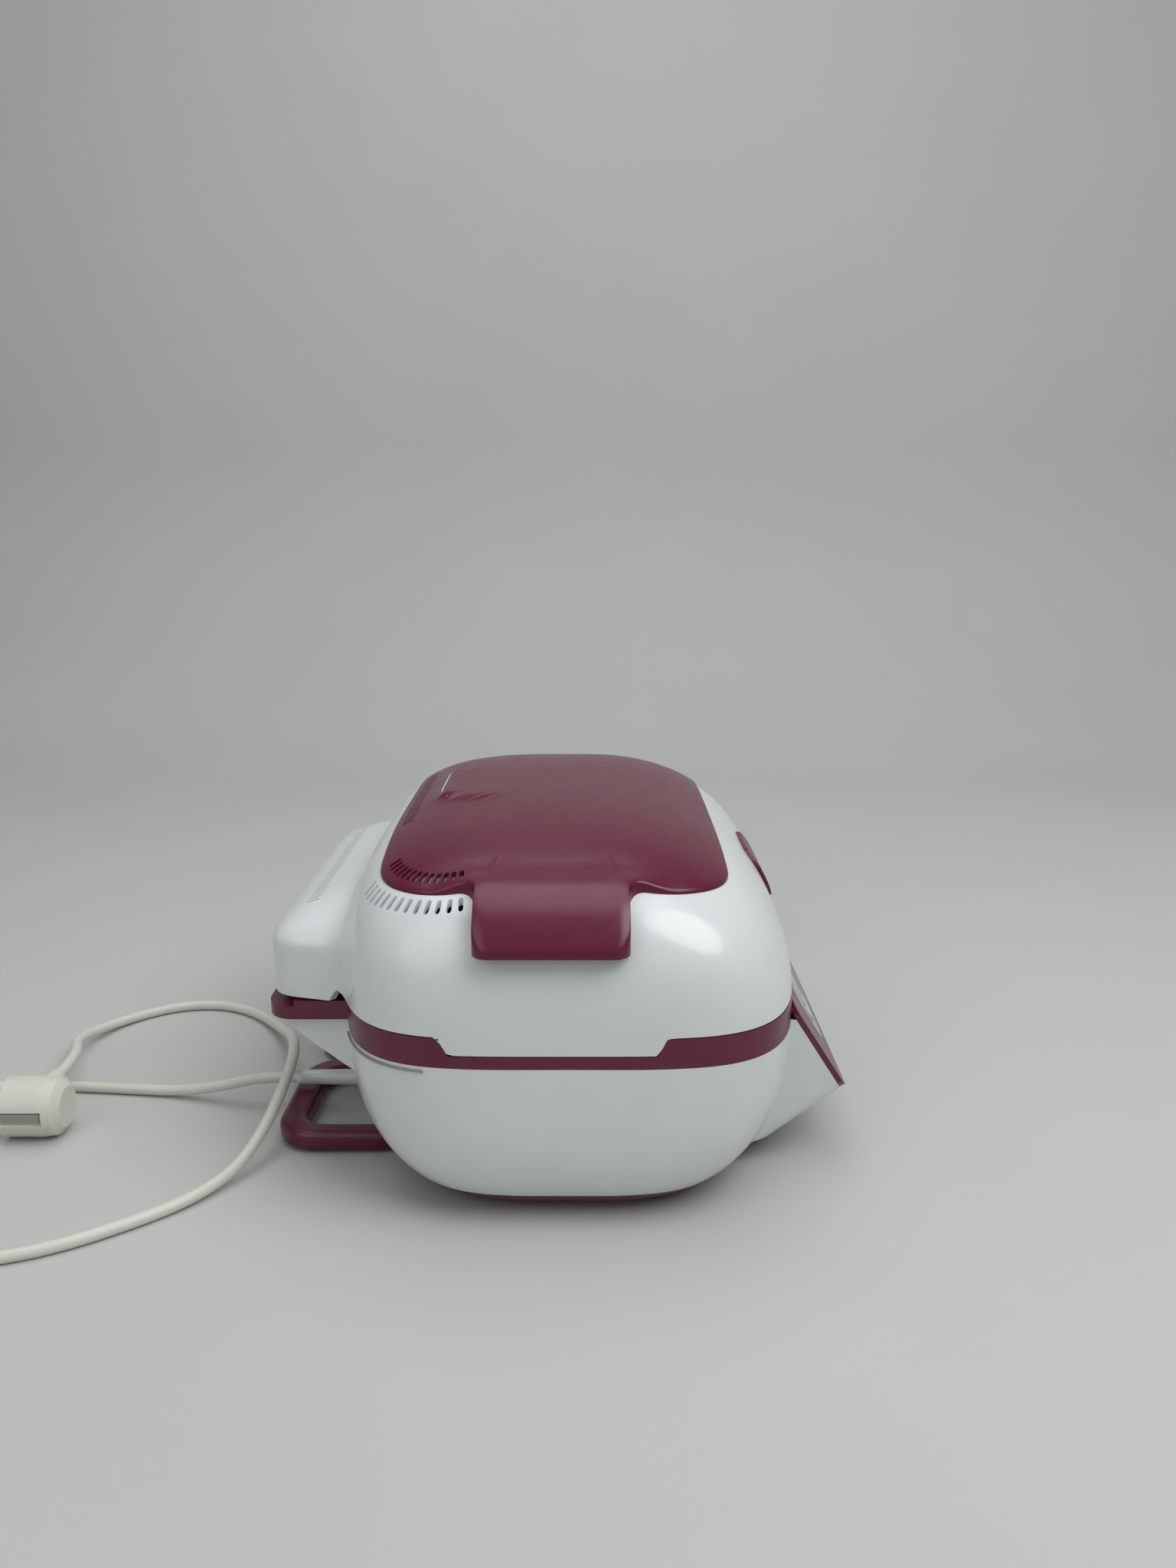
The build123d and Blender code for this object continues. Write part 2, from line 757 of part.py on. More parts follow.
# Hinge brackets screwed to the rear shelf, each with one upright lug
plate_thick = 2.0
with BuildPart() as hinge_brackets:
    for side in (-1, 1):
        with BuildSketch(Plane.YZ.offset(side * lug_x - lug_thick / 2)):
            with Locations((hinge_y, hinge_z)):
                Circle(lug_radius)
            with Locations((hinge_y, (hinge_z + shelf_step_z + plate_thick) / 2)):
                Rectangle(2 * lug_radius - 2, hinge_z - shelf_step_z - plate_thick)
            with Locations((hinge_y, hinge_z)):
                Circle(pin_radius, mode=Mode.SUBTRACT)
        extrude(amount=lug_thick)
        with BuildSketch(Plane.XY.offset(shelf_step_z)):
            with Locations((side * lug_x, hinge_y - 1.2)):
                RectangleRounded(30, 14, 2)
                with GridLocations(22, 0, 2, 1):
                    Circle(1.6, mode=Mode.SUBTRACT)
        extrude(amount=plate_thick)
hinge_brackets.part.label = "hinge_brackets"
export_step(hinge_brackets.part, "parts/hinge_brackets.step")

# Bracket screws, pan heads on the plates and shanks through the shelf
with BuildPart() as bracket_screws:
    for side in (-1, 1):
        with Locations((side * lug_x, hinge_y - 1.2, shelf_step_z + plate_thick)):
            with GridLocations(22, 0, 2, 1):
                Cylinder(2.6, 1.4, align=(Align.CENTER, Align.CENTER, Align.MIN))
                Cylinder(1.5, 7, align=(Align.CENTER, Align.CENTER, Align.MAX))
bracket_screws.part.label = "bracket_screws"
export_step(bracket_screws.part, "parts/bracket_screws.step")

# Hinge pins
web_thick = 4.0
slot_clear = 0.6
pin_half = lug_thick / 2 + slot_clear + web_thick + 0.5
with BuildPart() as hinge_pins:
    for side in (-1, 1):
        with BuildSketch(Plane.YZ.offset(side * lug_x - pin_half)):
            with Locations((hinge_y, hinge_z)):
                Circle(pin_radius)
        extrude(amount=2 * pin_half)
hinge_pins.part.label = "hinge_pins"
export_step(hinge_pins.part, "parts/hinge_pins.step")


def hump(inset):
    """Solid housing over the hinge: a side profile, a crowned front profile and a rounded plan."""
    low = hinge_z - hump_back + inset
    rear = hinge_y + hump_back - inset
    front = hinge_y - 66
    crown = hump_crown_z - inset
    half = hump_half_width - inset
    with BuildPart() as form:
        with BuildSketch(Plane.YZ.offset(-half)):
            with BuildLine():
                Line((front, low), (hinge_y, low))
                RadiusArc((hinge_y, low), (rear, hinge_z), -(hump_back - inset))
                Line((rear, hinge_z), (rear, crown - 20))
                Spline(
                    (rear, crown - 20),
                    (rear - 7, crown - 6),
                    (rear - 26, crown + 2),
                    (rear - 46, crown + 6),
                    tangents=((0, 1), (-1, 0.3)),
                )
                Line((rear - 46, crown + 6), (front, crown + 6))
                Line((front, crown + 6), (front, low))
            make_face()
        extrude(amount=2 * half)
        with BuildSketch(Plane.XZ.offset(-rear - 10)) as face:
            with BuildLine():
                Line((-half, low - 10), (half, low - 10))
                Line((half, low - 10), (half, hump_end_z - inset - 4))
                ThreePointArc((half, hump_end_z - inset - 4), (0, crown + 5), (-half, hump_end_z - inset - 4))
                Line((-half, hump_end_z - inset - 4), (-half, low - 10))
            profile = make_face()
            fillet(profile.vertices().sort_by(Axis.Y)[-2:], 20 - inset)
        extrude(amount=120, mode=Mode.INTERSECT)
        with BuildSketch(Plane.XY.offset(low - 10)):
            with Locations((0, rear - 50)):
                RectangleRounded(2 * half, 100, 18 - inset)
        extrude(amount=90, mode=Mode.INTERSECT)
    return form.part


# Lid shell: the dome with its tongues, the hinge housing and four bored webs
lid_form = dome(0)
lid_hollow = dome(shell_wall)
under_lid = belt_prism(-2.5, 80, parting_z + parting_gap) - tongue_zone(0)
behind_dome = block((-200, body_mid_y + reach_back + shell_wall, 90), (200, 260, 200))
with BuildPart() as lid_shell:
    add(lid_form)
    add(hump(0))
    add(hump(shell_wall) & behind_dome, mode=Mode.SUBTRACT)
    add(lid_hollow, mode=Mode.SUBTRACT)
    add(under_lid, mode=Mode.SUBTRACT)
    add(block((-220, -250, 60), (220, hinge_y - 60, parting_z - 9.5)), mode=Mode.SUBTRACT)
    for side in (-1, 1):
        for web in (-1, 1):
            web_x = side * lug_x + web * (lug_thick / 2 + slot_clear + web_thick / 2)
            with BuildSketch(Plane.YZ.offset(web_x - web_thick / 2)):
                with Locations((hinge_y, hinge_z)):
                    Circle(hump_back - 0.5)
                with Locations((hinge_y - 8, hinge_z + 16)):
                    Rectangle(20, 30)
            extrude(amount=web_thick)
    for side in (-1, 1):
        with Locations((side * lug_x, hinge_y + 1.5, hinge_z - 2)):
            Box(lug_thick + 2 * slot_clear, 21, 23, mode=Mode.SUBTRACT)
        with Locations(Plane(origin=(side * lug_x, hinge_y, hinge_z), z_dir=(1, 0, 0))):
            Cylinder(pin_radius + pin_clear, 2 * pin_half + 1, mode=Mode.SUBTRACT)
lid_shell.part.label = "lid_shell"
export_step(lid_shell.part, "parts/lid_shell.step")

# Lid cover: a raised skin over the crown with a hooked finger grip at each side
cover_rise = 2.3
cover_half_x = 160.0
cover_back = 106.0
cover_front = 92.0
cover_corner = 48.0
grip_half_x = 196.0
grip_half_y = 41.0
grip_y = body_mid_y + 7.0
lip_z = 158.5
lip_thick = 4.0
with BuildPart() as crown_skin:
    add(dome(-cover_rise))
    Box(352, 400, 600, mode=Mode.INTERSECT)
with BuildPart() as grip_form:
    with BuildSketch(Plane.XZ.offset(-grip_y - 65)):
        with BuildLine():
            Spline(
                (151, 191.6),
                (165, 188.8),
                (178, 183),
                (188, 174),
                (grip_half_x, lip_z + 4),
                tangents=((1, -0.12), (0.25, -1)),
            )
            Line((grip_half_x, lip_z + 4), (grip_half_x - 1, lip_z))
            Line((grip_half_x - 1, lip_z), (130, lip_z))
            Line((130, lip_z), (130, 191.6))
            Line((130, 191.6), (151, 191.6))
        make_face()
    extrude(amount=130)
    mirror(about=Plane.YZ)
with BuildPart() as pocket_form:
    with BuildSketch(Plane.XZ.offset(-grip_y - grip_half_y + 4)):
        with BuildLine():
            Line((130, lip_z - 1), (grip_half_x - 1 - lip_thick, lip_z - 1))
            Line((grip_half_x - 1 - lip_thick, lip_z - 1), (grip_half_x - 1 - lip_thick, lip_z + 4))
            Line((grip_half_x - 1 - lip_thick, lip_z + 4), (182, 174))
            Line((182, 174), (172, 176))
            Line((172, 176), (130, lip_z - 1))
        make_face()
    extrude(amount=2 * grip_half_y - 8)
    mirror(about=Plane.YZ)
with BuildPart() as cover_plan:
    with BuildSketch(Plane.XY.offset(parting_z + 8)):
        with Locations((0, body_mid_y + (cover_back - cover_front) / 2)):
            RectangleRounded(2 * cover_half_x, cover_back + cover_front, cover_corner)
        with Locations((0, grip_y)):
            Rectangle(2 * grip_half_x, 2 * grip_half_y)
    extrude(amount=120)
with BuildPart() as lid_cover:
    add(crown_skin.part)
    add(grip_form.part)
    add(cover_plan.part, mode=Mode.INTERSECT)
    add(pocket_form.part, mode=Mode.SUBTRACT)
    add(dome(-0.1), mode=Mode.SUBTRACT)
lid_cover.part.label = "lid_cover"
export_step(lid_cover.part, "parts/lid_cover.step")

# Lid liner: a pressed upper pan with a flange seated inside the lid's rim
liner_half_x = 158.0
liner_half_y = 104.0
liner_mouth_z = 104.2
liner_roof_z = 146.0
liner_wall = 1.0
flange_z = parting_z + 0.8
with BuildPart() as lid_liner:
    add(pressed_pan(liner_half_x, liner_half_y, 36, liner_mouth_z, liner_roof_z, 8))
    with BuildSketch(Plane.XY.offset(flange_z)):
        add(
            make_face(
                Spline(
                    *egg_points(
                        half_width - shell_wall - 0.7,
                        reach_back - shell_wall - 0.7,
                        reach_front - shell_wall - 0.7,
                        corner_power,
                    ),
                    periodic=True,
                )
            )
        )
    extrude(amount=1.2)
    add(
        pressed_pan(
            liner_half_x - liner_wall,
            liner_half_y - liner_wall,
            35,
            liner_mouth_z,
            liner_roof_z - liner_wall,
            7,
        ),
        mode=Mode.SUBTRACT,
    )
    with Locations((-26, body_mid_y + 60, liner_roof_z), (26, body_mid_y + 60, liner_roof_z)):
        Cylinder(heater_radius + 0.4, 8, mode=Mode.SUBTRACT)
lid_liner.part.label = "lid_liner"
export_step(lid_liner.part, "parts/lid_liner.step")

# Upper heater loop with two tails up through the liner's roof
upper_heater_z = 132.0
with BuildPart() as upper_heater:
    with BuildLine() as route:
        FilletPolyline(
            (-26, body_mid_y + 60, liner_roof_z + 12),
            (-26, body_mid_y + 60, upper_heater_z),
            (-112, body_mid_y + 60, upper_heater_z),
            (-112, body_mid_y - 60, upper_heater_z),
            (112, body_mid_y - 60, upper_heater_z),
            (112, body_mid_y + 60, upper_heater_z),
            (26, body_mid_y + 60, upper_heater_z),
            (26, body_mid_y + 60, liner_roof_z + 12),
            radius=9,
        )
    with BuildSketch(Plane(origin=route.line @ 0, z_dir=route.line % 0)):
        Circle(heater_radius)
    sweep()
upper_heater.part.label = "upper_heater"
export_step(upper_heater.part, "parts/upper_heater.step")

# Heater clips, straps from the liner's roof round the heater
with BuildPart() as heater_clips:
    for x, y in ((-112, 0), (112, 0), (-60, -60), (60, -60)):
        along_x = y != 0
        with Locations((x, body_mid_y + y, upper_heater_z)):
            wide = (
                (8, 2 * heater_radius + 2, 2 * heater_radius + 2)
                if along_x
                else (2 * heater_radius + 2, 8, 2 * heater_radius + 2)
            )
            Box(*wide)
        with Locations((x, body_mid_y + y, (liner_roof_z - liner_wall + upper_heater_z + heater_radius) / 2)):
            Box(
                *((8, 1.5) if along_x else (1.5, 8)),
                liner_roof_z - liner_wall - upper_heater_z - heater_radius,
            )
    add(upper_heater.part, mode=Mode.SUBTRACT)
heater_clips.part.label = "heater_clips"
export_step(heater_clips.part, "parts/heater_clips.step")

# Thermostat on top of the liner
with BuildPart() as lid_thermostat:
    with Locations((70, body_mid_y, liner_roof_z)):
        Cylinder(8, 7, align=(Align.CENTER, Align.CENTER, Align.MIN))
        Box(28, 9, 1, align=(Align.CENTER, Align.CENTER, Align.MIN))
lid_thermostat.part.label = "lid_thermostat"
export_step(lid_thermostat.part, "parts/lid_thermostat.step")

# Bare plate set on the front slope of the lid
plate_rise = 2.0
with BuildPart() as front_plate:
    add(dome(-plate_rise, parting_z))
    add(dome(-0.25, parting_z), mode=Mode.SUBTRACT)
    with BuildSketch(Plane.XZ.offset(-body_mid_y + 60)):
        with Locations((0, 151)):
            RectangleRounded(64, 32, 14)
    extrude(amount=120, mode=Mode.INTERSECT)
front_plate.part.label = "front_plate"
export_step(front_plate.part, "parts/front_plate.step")

# Thin metal keeper under the belt at each rear corner
with BuildPart() as corner_keepers:
    add(belt_prism(-0.9, belt_z - 3.2, belt_z - 2))
    add(belt_prism(-0.2, belt_z - 4, belt_z), mode=Mode.SUBTRACT)
    Box(280, 2 * (reach_back + 60), 400, mode=Mode.SUBTRACT)
    with Locations((0, body_mid_y - 60, belt_z)):
        Box(500, 270, 40, mode=Mode.SUBTRACT)
corner_keepers.part.label = "corner_keepers"
export_step(corner_keepers.part, "parts/corner_keepers.step")
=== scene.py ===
import math

import bmesh
import bpy
import numpy as np
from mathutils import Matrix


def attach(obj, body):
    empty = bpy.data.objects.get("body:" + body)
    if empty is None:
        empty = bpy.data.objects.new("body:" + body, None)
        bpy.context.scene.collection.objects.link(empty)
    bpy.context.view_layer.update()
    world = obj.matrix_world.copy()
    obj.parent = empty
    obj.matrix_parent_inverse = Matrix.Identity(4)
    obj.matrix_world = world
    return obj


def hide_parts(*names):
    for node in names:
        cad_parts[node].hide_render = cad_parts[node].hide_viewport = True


bl_info = {
    "name": "Countertop cake maker looks",
    "version": (1, 0, 0),
    "blender": (4, 5, 0),
    "location": "View3D > Sidebar > Cake maker",
    "description": "Dresses the packed cake maker with its finishes, cord and studio",
    "category": "Object",
}

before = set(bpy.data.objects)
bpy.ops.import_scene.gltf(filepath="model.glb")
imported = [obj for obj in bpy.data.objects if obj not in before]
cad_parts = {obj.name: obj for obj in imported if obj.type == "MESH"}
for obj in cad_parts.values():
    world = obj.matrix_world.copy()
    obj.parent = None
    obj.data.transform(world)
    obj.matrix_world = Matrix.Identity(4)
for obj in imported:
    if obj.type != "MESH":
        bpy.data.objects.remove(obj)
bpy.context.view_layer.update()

MM = 0.001


# Colour and node helpers


def linear(hex_colour):
    """sRGB hex string to a linear colour with alpha 1."""
    parts = [int(hex_colour[i : i + 2], 16) / 255 for i in (1, 3, 5)]
    return [p / 12.92 if p <= 0.04045 else ((p + 0.055) / 1.055) ** 2.4 for p in parts] + [1.0]


def add_node(tree, kind, links=(), **settings):
    """Adds one node, sets its sockets and properties by name, and links (own input, other output) pairs."""
    node = tree.nodes.new(kind)
    for name, value in settings.items():
        label = name.replace("_", " ")
        sockets = {socket.name.lower(): socket for socket in reversed(node.inputs)}
        if label.lower() in sockets and not hasattr(node, name):
            sockets[label.lower()].default_value = value
        else:
            setattr(node, name, value)
    for own, other in links:
        tree.links.new(other, node.inputs[own])
    return node


def new_material(name):
    """Empty node material with its output node."""
    material = bpy.data.materials.new(name)
    material.use_nodes = True
    material.node_tree.nodes.clear()
    return material, material.node_tree


def finish_material(tree, shader):
    """Joins a finished shader to the material's output."""
    add_node(tree, "ShaderNodeOutputMaterial", [("Surface", shader.outputs["BSDF"])])


def object_coordinates(tree, scale_mm, stretch=(1, 1, 1)):
    """Object coordinates scaled so that one unit is scale_mm millimetres."""
    coordinates = add_node(tree, "ShaderNodeTexCoord")
    mapping = add_node(tree, "ShaderNodeMapping", [("Vector", coordinates.outputs["Object"])])
    mapping.inputs["Scale"].default_value = [s / (scale_mm * MM) for s in stretch]
    return mapping.outputs["Vector"]


def noise(tree, size_mm, detail, stretch=(1, 1, 1)):
    """Fractal noise whose largest lumps are about size_mm across."""
    place = object_coordinates(tree, size_mm, stretch)
    return add_node(tree, "ShaderNodeTexNoise", [("Vector", place)], Scale=1.0, Detail=detail).outputs["Fac"]


def spread(tree, value, low, high, from_low=0.0, from_high=1.0):
    """Maps a value from one range to another."""
    node = add_node(tree, "ShaderNodeMapRange", [("Value", value)])
    limits = {"From Min": from_low, "From Max": from_high, "To Min": low, "To Max": high}
    for socket, limit in limits.items():
        node.inputs[socket].default_value = limit
    return node.outputs["Result"]


def blend(tree, factor, first, second):
    """Mixes two sRGB hex colours by a factor."""
    node = add_node(tree, "ShaderNodeMix", [("Factor", factor)], data_type="RGBA")
    node.inputs[6].default_value = linear(first)
    node.inputs[7].default_value = linear(second)
    return node.outputs[2]


MOTTLE_MM = 38
HAZE_MM = 9
GRAIN_STRENGTH = 0.25
PLASTIC_IOR = 1.53


def moulded_plastic(
    name, colour, deep_colour, roughness, grain_mm=0.9, grain_depth=0.02, wear=0.06, coat=0.0
):
    """Moulded plastic: a fine even grain from the tool, faint flow mottling and a hazy worn gloss."""
    if name in bpy.data.materials:
        return bpy.data.materials[name]
    material, tree = new_material(name)
    tone = blend(tree, noise(tree, MOTTLE_MM, 4.0), deep_colour, colour)
    haze = noise(tree, HAZE_MM, 6.0)
    gloss = spread(tree, haze, roughness - wear / 2, roughness + wear / 2, 0.3, 0.7)
    bump = add_node(tree, "ShaderNodeBump", [("Height", noise(tree, grain_mm, 2.0))])
    bump.inputs["Strength"].default_value = GRAIN_STRENGTH
    bump.inputs["Distance"].default_value = grain_depth * MM
    sockets = [("Base Color", tone), ("Roughness", gloss), ("Normal", bump.outputs["Normal"])]
    shader = add_node(tree, "ShaderNodeBsdfPrincipled", sockets)
    shader.inputs["IOR"].default_value = PLASTIC_IOR
    shader.inputs["Coat Weight"].default_value = coat
    finish_material(tree, shader)
    return material


UNBRUSHED_MM = 6.0
BRUSH_STRETCH = (0.08, 1, 1)
STAIN_SHARE = 0.35


def metal(name, colour, roughness, brush_mm=None, dark="#3A3A3C"):
    """Metal: a brushed or drawn streak in its roughness and a faint darker stain along the streaks."""
    material, tree = new_material(name)
    stretch = BRUSH_STRETCH if brush_mm else (1, 1, 1)
    streak = noise(tree, brush_mm or UNBRUSHED_MM, 4.0, stretch)
    gloss = spread(tree, streak, roughness - 0.1, roughness + 0.15)
    stain = add_node(tree, "ShaderNodeMath", [(0, streak)], operation="MULTIPLY")
    stain.inputs[1].default_value = STAIN_SHARE
    tone = blend(tree, stain.outputs[0], colour, dark)
    shader = add_node(tree, "ShaderNodeBsdfPrincipled", [("Base Color", tone), ("Roughness", gloss)])
    shader.inputs["Metallic"].default_value = 1.0
    finish_material(tree, shader)
    return material


def dress(material, *nodes):
    """Gives carried-over CAD nodes one material."""
    for name in nodes:
        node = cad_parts[name]
        node.data.materials.clear()
        node.data.materials.append(material)


# Forms of the mouldings, in millimetres about the appliance's own frame

BODY_MID = -6.0
HALF_WIDTH = 192.0
REACH_BACK = 131.0
REACH_FRONT = 134.0
CORNER_POWER = 4.5
WALL = 3.0
PARTING = 113.3
DOME_FOOT = 104.0
CROWN = 206.0
HINGE_Y = 162.0
HINGE_Z = 113.0
HINGE_ROUND = 8.0
TONGUE_DROP = 9.8
TONGUE_MID = 0.5
TONGUE_HALF_TOP = 62
TONGUE_HALF_FOOT = 54
SOFTNESS = 14.0
SIDE_TAPER = 3.3
BACK_TAPER = 3.8
FRONT_TAPER = 2.3
CROWN_ROUNDING = 1.5
HUMP_HALF = 120
HUMP_REACH = 176
HUMP_SHOULDER = 134
HUMP_RISE = 29
HUMP_NARROWING = 0.62
HUMP_FALL = 94
HUMP_POWER = 12
HUMP_POWER_TOP = 6
TINY = 1e-6


def superellipse(angle, half_x, half_y, power):
    """Distance from the centre to a superellipse in each direction."""
    along = np.abs(np.cos(angle)) / half_x
    across = np.abs(np.sin(angle)) / half_y
    return (along**power + across**power) ** (-1 / power)


def taper(fraction, power):
    """What is left of a reach at a fraction of a superellipse's rise."""
    return np.clip(1 - np.clip(fraction, 0, 1) ** power, 0, 1) ** (1 / power)


def soft_union(first, second, softness=SOFTNESS):
    """The larger of two reaches, rounded where they cross: the softness-th root of the sum of both powers."""
    return (first**softness + second**softness) ** (1 / softness)


def smooth_step(value, low, high):
    """0 below low, 1 above high and an S curve between."""
    t = np.clip((value - low) / (high - low), 0, 1)
    return t * t * (3 - 2 * t)


def lid_reach(angle, height, inset=0.0):
    """Lid: an egg outline that closes over the crown, joined softly to the housing over the hinge."""
    fraction = (height - DOME_FOOT) / (CROWN - DOME_FOOT - inset)
    back = (REACH_BACK - inset) * taper(fraction, BACK_TAPER)
    front = (REACH_FRONT - inset) * taper(fraction, FRONT_TAPER)
    egg = superellipse(
        angle,
        (HALF_WIDTH - inset) * taper(fraction, SIDE_TAPER) + TINY,
        np.where(np.sin(angle) >= 0, back, front) + TINY,
        CORNER_POWER - CROWN_ROUNDING * np.clip(fraction, 0, 1) ** 2,
    )
    rise = np.clip((height + inset - HUMP_SHOULDER) / HUMP_RISE, 0, 1)
    shrink = 1 - np.sqrt(1 - rise**2)
    half = (HUMP_HALF - inset) * (1 - HUMP_NARROWING * shrink)
    reach = HUMP_REACH - inset - HUMP_FALL * shrink
    hump = superellipse(angle, half, reach, HUMP_POWER - (HUMP_POWER - HUMP_POWER_TOP) * shrink)
    return np.where(np.sin(angle) > 0, soft_union(egg, hump), egg)


def lid_height(x, y):
    """Height of the lid over a point of the plan, found by halving the interval on lid_reach."""
    angle = np.arctan2(y - BODY_MID, x)
    distance = np.hypot(x, y - BODY_MID)
    low = np.full(np.shape(x), DOME_FOOT)
    high = np.full(np.shape(x), CROWN)
    for _ in range(36):
        middle = (low + high) / 2
        inside = lid_reach(angle, middle) > distance
        low = np.where(inside, middle, low)
        high = np.where(inside, high, middle)
    return low


def plan_points(angle, reach, height):
    """Points at a reach round the upright axis of the appliance, stacked on the last axis."""
    return np.stack([reach * np.cos(angle), BODY_MID + reach * np.sin(angle), height], -1)


def ring(count):
    """Directions once round, without the closing one."""
    return np.linspace(0, 2 * math.pi, count, endpoint=False)


def shell_mesh(name, outer, inner):
    """Closed shell from an outer and an inner grid that run from the rim up, joined at the rim."""
    rows, columns = outer.shape[:2]
    index = np.arange(rows * columns).reshape(rows, columns)
    index = np.hstack([index, index[:, :1]])
    other = index + rows * columns

    def quads(low, high):
        return np.stack([low[..., :-1], low[..., 1:], high[..., 1:], high[..., :-1]], -1).reshape(-1, 4)

    faces = [quads(index[:-1], index[1:]), quads(other[1:], other[:-1]), quads(other[:1], index[:1])]
    points = np.concatenate([outer.reshape(-1, 3), inner.reshape(-1, 3)]) * MM
    mesh = bpy.data.meshes.new(name)
    mesh.from_pydata(points.tolist(), [], np.concatenate(faces).tolist())
    tidy(mesh)
    return mesh


def tidy(mesh, smooth_angle=35):
    """Merges doubled points, turns every face outwards and shades it smooth up to an angle."""
    edit = bmesh.new()
    edit.from_mesh(mesh)
    bmesh.ops.remove_doubles(edit, verts=edit.verts, dist=1e-6)
    bmesh.ops.dissolve_degenerate(edit, edges=edit.edges, dist=1e-7)
    bmesh.ops.recalc_face_normals(edit, faces=edit.faces)
    edit.to_mesh(mesh)
    edit.free()
    mesh.polygons.foreach_set("use_smooth", np.ones(len(mesh.polygons), bool))
    mesh.set_sharp_from_angle(angle=math.radians(smooth_angle))
    mesh.update()


def piece(name, mesh, material, body, slot, *replaced):
    """Places a finished mesh in the scene, on its body, with its material."""
    made = bpy.data.objects.new(name, mesh)
    bpy.context.collection.objects.link(made)
    mesh.materials.clear()
    mesh.materials.append(material)
    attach(made, body)
    if replaced:
        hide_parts(*replaced)
    return made


END_POINTS = 7


def slot_prisms(places, length, width, low, high):
    """Upright round-ended prisms: places are rows of x, y and turn, all in one mesh for a cut."""
    half = np.linspace(-90, 90, END_POINTS)
    ends = np.radians(np.concatenate([half, half + 180]))
    around = np.arange(len(ends))
    straight = (length - width) / 2
    shift = np.where(around < END_POINTS, straight, -straight)
    outline = np.stack([np.cos(ends) * width / 2 + shift, np.sin(ends) * width / 2], -1)
    x, y, turn = np.asarray(places, float).T[:, :, None]
    px = x + outline[:, 0] * np.cos(turn) - outline[:, 1] * np.sin(turn)
    py = y + outline[:, 0] * np.sin(turn) + outline[:, 1] * np.cos(turn)
    count = len(places)
    points = np.stack([np.stack([px, py, np.full(px.shape, z)], -1) for z in (low, high)], 1)
    top = len(ends)
    base = np.arange(count)[:, None] * 2 * top
    following = (around + 1) % top
    sides = np.stack([around, following, following + top, around + top], -1)
    quads = (base[:, :, None] + sides[None]).reshape(-1, 4).tolist()
    caps = np.concatenate([base + around[::-1], base + around + top]).tolist()
    mesh = bpy.data.meshes.new("cutter")
    mesh.from_pydata((points.reshape(-1, 3) * MM).tolist(), [], quads + caps)
    mesh.update()
    return mesh


def cut(target, *cutters):
    """Cuts closed meshes out of a piece and keeps the result as its own mesh."""
    for mesh in cutters:
        tool = bpy.data.objects.new("cutter", mesh)
        bpy.context.collection.objects.link(tool)
        change = target.modifiers.new("cut", "BOOLEAN")
        change.operation = "DIFFERENCE"
        change.solver = "EXACT"
        change.object = tool
        bpy.context.view_layer.update()
        graph = bpy.context.evaluated_depsgraph_get()
        made = bpy.data.meshes.new_from_object(target.evaluated_get(graph))
        target.modifiers.clear()
        old = target.data
        material = old.materials[0]
        target.data = made
        made.name = target.name
        made.materials.clear()
        made.materials.append(material)
        made.polygons.foreach_set("material_index", np.zeros(len(made.polygons), np.int32))
        tidy(made)
        bpy.data.objects.remove(tool)
        bpy.data.meshes.remove(old)


# What a user may change


class CakeMakerColours(bpy.types.PropertyGroup):
    white: bpy.props.StringProperty(
        name="White mouldings", description="sRGB hex of the pale ABS", default="#DDE1E2"
    )
    red: bpy.props.StringProperty(
        name="Red mouldings", description="sRGB hex of the dark red ABS", default="#640A30"
    )
    cord: bpy.props.StringProperty(
        name="Cord", description="sRGB hex of the cord's sheath", default="#D9D8D0"
    )
    floor: bpy.props.StringProperty(
        name="Floor", description="sRGB hex of the studio floor", default="#C1C3C0"
    )


class CakeMakerSizes(bpy.types.PropertyGroup):
    cord_diameter: bpy.props.FloatProperty(
        name="Cord diameter",
        description="Outside of the mains cord",
        default=0.007,
        unit="LENGTH",
        min=0.004,
        max=0.010,
    )
    camera_tilt: bpy.props.FloatProperty(
        name="Camera tilt",
        description="How far the camera looks down",
        default=math.radians(13),
        subtype="ANGLE",
    )
    camera_height: bpy.props.FloatProperty(
        name="Camera height", description="Above the floor", default=0.380, unit="LENGTH"
    )
    camera_back: bpy.props.FloatProperty(
        name="Camera distance", description="From the middle of the appliance", default=0.758, unit="LENGTH"
    )
    camera_side: bpy.props.FloatProperty(
        name="Camera shift", description="Towards the front of the appliance", default=0.018, unit="LENGTH"
    )


# Pieces


HALF_FRAME_PX = 1024
FOCAL_PX = 1539


class CAKE_OT_camera(bpy.types.Operator):
    """Sets a wide camera on a portrait frame, near and a little above, looking at the left side."""

    bl_idname = "cake.camera"
    bl_label = "Camera"

    def execute(self, context):
        sizes = context.scene.cake_sizes
        data = bpy.data.cameras.new("camera")
        data.sensor_fit = "VERTICAL"
        data.angle = 2 * math.atan(HALF_FRAME_PX / FOCAL_PX)
        data.clip_start = 0.01
        camera = bpy.data.objects.new("camera", data)
        camera.location = (-sizes.camera_back, -sizes.camera_side, sizes.camera_height)
        camera.rotation_euler = (math.radians(90) - sizes.camera_tilt, 0, math.radians(-90))
        context.collection.objects.link(camera)
        context.scene.camera = camera
        return {"FINISHED"}


